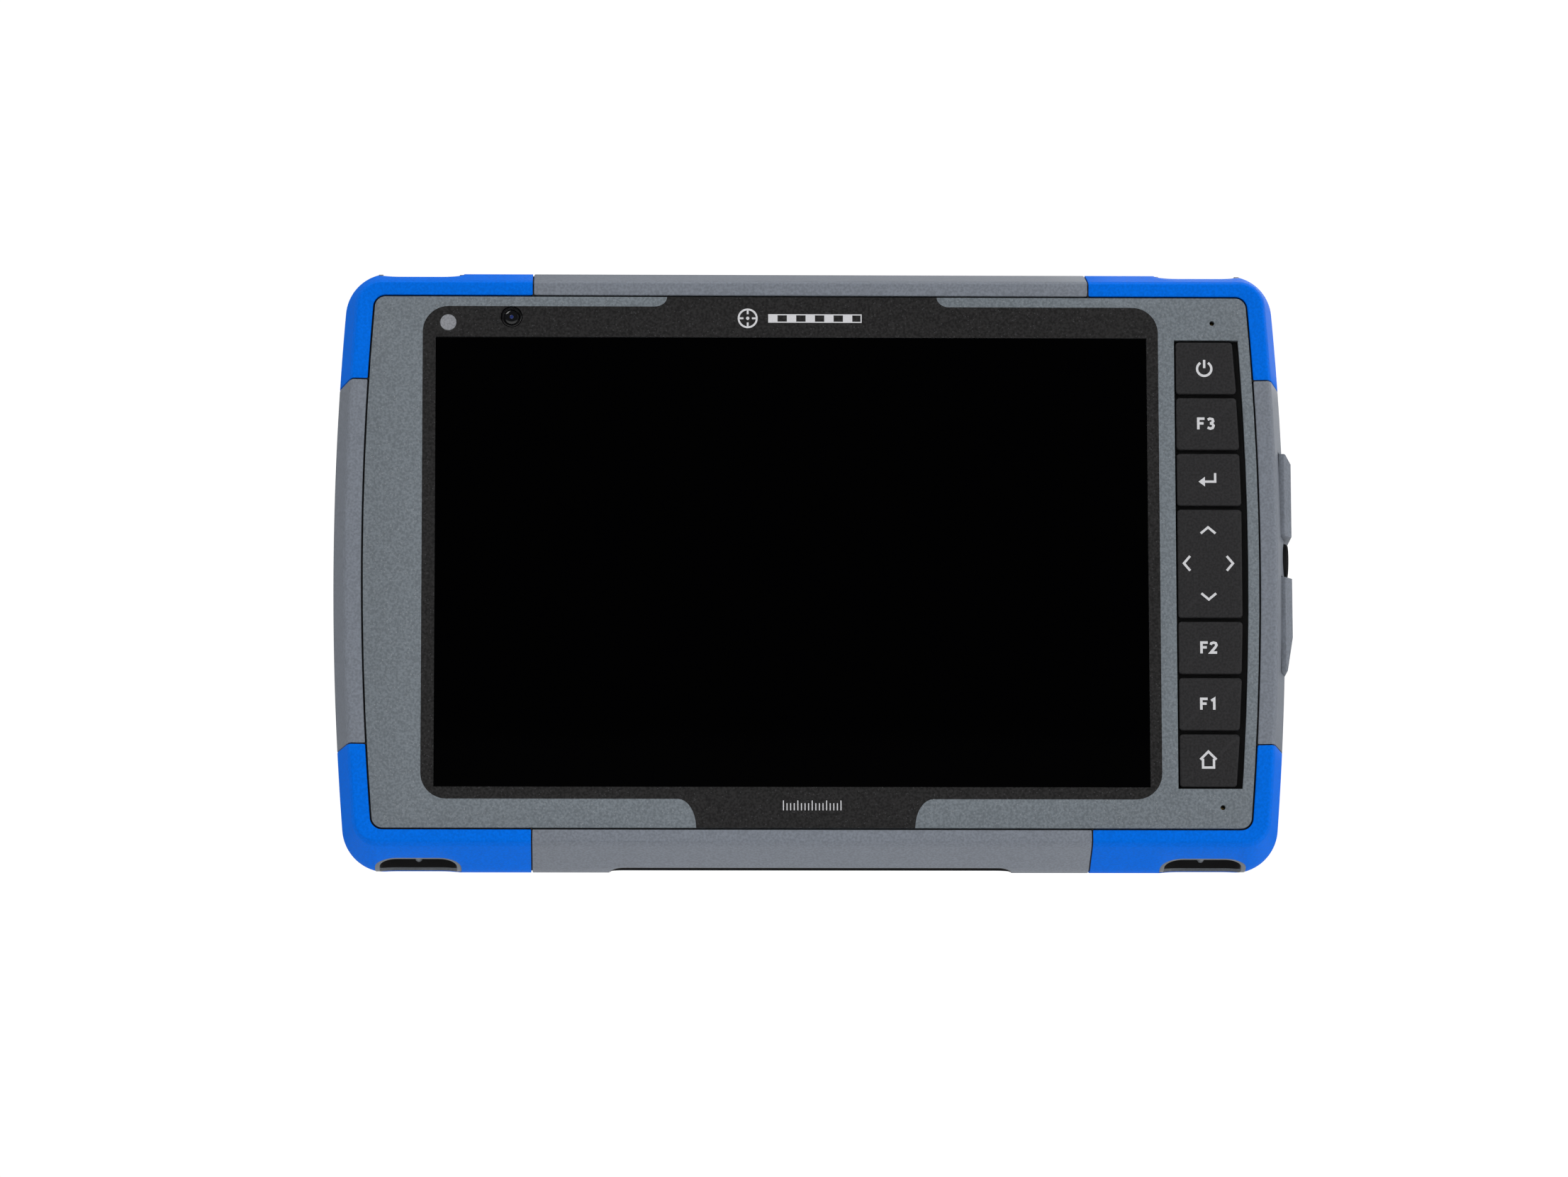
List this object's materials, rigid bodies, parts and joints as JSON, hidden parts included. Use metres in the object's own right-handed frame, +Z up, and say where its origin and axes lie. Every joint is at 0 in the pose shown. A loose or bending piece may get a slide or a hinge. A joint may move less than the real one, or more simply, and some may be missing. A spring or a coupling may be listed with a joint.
{
  "type": "data collector",
  "caption": "Rugged landscape field tablet with corner bumpers, a large front display, a column of keys, hinged port doors, dock contacts and a rear bracket pattern.",
  "frame": {"origin": "centre of the four bracket inserts, on the face of their boss on the back", "axes": "+X to the right seen from the front, +Y out of the back, +Z up; the screen faces -Y"},
  "size_m": [0.2155, 0.0348, 0.1364],
  "materials": {
    "overlay_grey": "fine sparkling satin overlay",
    "mask_black": "fine sparkling satin black print",
    "screen_glass": "black behind polished cover glass",
    "panel_black": "smooth black",
    "bare_aluminium": "stamped",
    "housing_dark": "spark-eroded grain",
    "seal_black": "matt elastomer",
    "bumper_blue": "fine matt elastomer, moulded over",
    "rail_grey": "fine matt elastomer, moulded over",
    "anchor_grey": "moulded, fine grain",
    "steel": "ground",
    "board_green": "solder resist",
    "trim_black": "moulded, fine grain",
    "lens_glass": "coated and polished",
    "sensor_window": "frosted window",
    "brass": "machined, knurled",
    "socket_metal": "stamped and plated",
    "contact_gold": "gold plated",
    "battery_black": "moulded case",
    "ceramic": "fired ceramic",
    "plate_metal": "brushed and blank",
    "screw_black": "black oxide",
    "key_black": "silk matt key cap"
  },
  "bodies": {
    "case": {"bezel_overlay": "overlay_grey", "display_mask": "mask_black", "cover_glass": "screen_glass", "touch_panel": "panel_black", "lcd_panel": "panel_black", "display_frame": "bare_aluminium", "front_housing": "housing_dark", "rear_housing": "housing_dark", "main_gasket": "seal_black", "bumper_top_left": "bumper_blue", "bumper_top_right": "bumper_blue", "bumper_bottom_left": "bumper_blue", "bumper_bottom_right": "bumper_blue", "rail_top": "rail_grey", "rail_bottom": "rail_grey", "rail_left": "rail_grey", "rail_right": "rail_grey", "strap_anchors": "anchor_grey", "strap_posts": "steel", "keypad_mat": "seal_black", "keypad_board": "board_green", "camera_ring": "trim_black", "camera_lens": "lens_glass", "front_camera": "trim_black", "light_sensor": "sensor_window", "microphones": "brass", "door_pins": "steel", "dc_jack": "trim_black", "usb_a_socket": "socket_metal", "usb_c_socket": "socket_metal", "audio_socket": "trim_black", "port_board": "board_green", "dock_block": "trim_black", "dock_contacts": "contact_gold", "main_board": "board_green", "shield_cans": "socket_metal", "heat_spreader": "bare_aluminium", "battery_pack": "battery_black", "battery_contacts": "contact_gold", "battery_door_rod": "steel", "speaker": "trim_black", "rear_camera": "trim_black", "rear_window": "lens_glass", "satellite_antenna": "ceramic", "rating_plate": "plate_metal", "case_screws": "screw_black", "bracket_inserts": "brass"},
    "key_power": {"key_power": "key_black"},
    "key_f3": {"key_f3": "key_black"},
    "key_enter": {"key_enter": "key_black"},
    "key_f2": {"key_f2": "key_black"},
    "key_f1": {"key_f1": "key_black"},
    "key_home": {"key_home": "key_black"},
    "dpad_pivot": {"dpad_pivot": "steel"},
    "key_dpad": {"key_dpad": "key_black"},
    "port_door_upper": {"port_door_upper": "rail_grey"},
    "port_door_lower": {"port_door_lower": "rail_grey"},
    "battery_door": {"battery_door": "housing_dark"},
    "door_lock_upper": {"door_lock_upper": "trim_black"},
    "door_lock_lower": {"door_lock_lower": "trim_black"}
  },
  "joints": [
    {"name": "key_power_press", "type": "slide", "parent": "case", "child": "key_power", "axis": [0, 1, 0], "range_m": [0, 0.0006], "stiffness_N_per_m": 600},
    {"name": "key_f3_press", "type": "slide", "parent": "case", "child": "key_f3", "axis": [0, 1, 0], "range_m": [0, 0.0006], "stiffness_N_per_m": 600},
    {"name": "key_enter_press", "type": "slide", "parent": "case", "child": "key_enter", "axis": [0, 1, 0], "range_m": [0, 0.0006], "stiffness_N_per_m": 600},
    {"name": "key_f2_press", "type": "slide", "parent": "case", "child": "key_f2", "axis": [0, 1, 0], "range_m": [0, 0.0006], "stiffness_N_per_m": 600},
    {"name": "key_f1_press", "type": "slide", "parent": "case", "child": "key_f1", "axis": [0, 1, 0], "range_m": [0, 0.0006], "stiffness_N_per_m": 600},
    {"name": "key_home_press", "type": "slide", "parent": "case", "child": "key_home", "axis": [0, 1, 0], "range_m": [0, 0.0006], "stiffness_N_per_m": 600},
    {"name": "dpad_up_down", "type": "hinge", "parent": "case", "child": "dpad_pivot", "pos_m": [0.08922, -0.032, -0.00035], "axis": [1, 0, 0], "range_deg": [-2, 2], "stiffness_Nm_per_rad": 0.3},
    {"name": "dpad_left_right", "type": "hinge", "parent": "dpad_pivot", "child": "key_dpad", "pos_m": [0.08922, -0.032, -0.00035], "axis": [0, 0, 1], "range_deg": [-2, 2], "stiffness_Nm_per_rad": 0.3},
    {"name": "upper_door_swing", "type": "hinge", "parent": "case", "child": "port_door_upper", "pos_m": [0.1051, -0.0114, 0.01645], "axis": [0, 0, 1], "range_deg": [0, 110]},
    {"name": "lower_door_swing", "type": "hinge", "parent": "case", "child": "port_door_lower", "pos_m": [0.1051, -0.0114, -0.013], "axis": [0, 0, 1], "range_deg": [0, 110]},
    {"name": "battery_door_swing", "type": "hinge", "parent": "case", "child": "battery_door", "pos_m": [-0.087, -0.002, 0], "axis": [0, 0, 1], "range_deg": [0, 100]},
    {"name": "upper_lock_turn", "type": "hinge", "parent": "battery_door", "child": "door_lock_upper", "pos_m": [-0.038, -0.002, 0.038], "axis": [0, 1, 0], "range_deg": [0, 90]},
    {"name": "lower_lock_turn", "type": "hinge", "parent": "battery_door", "child": "door_lock_lower", "pos_m": [-0.038, -0.002, -0.038], "axis": [0, 1, 0], "range_deg": [0, 90]}
  ]
}
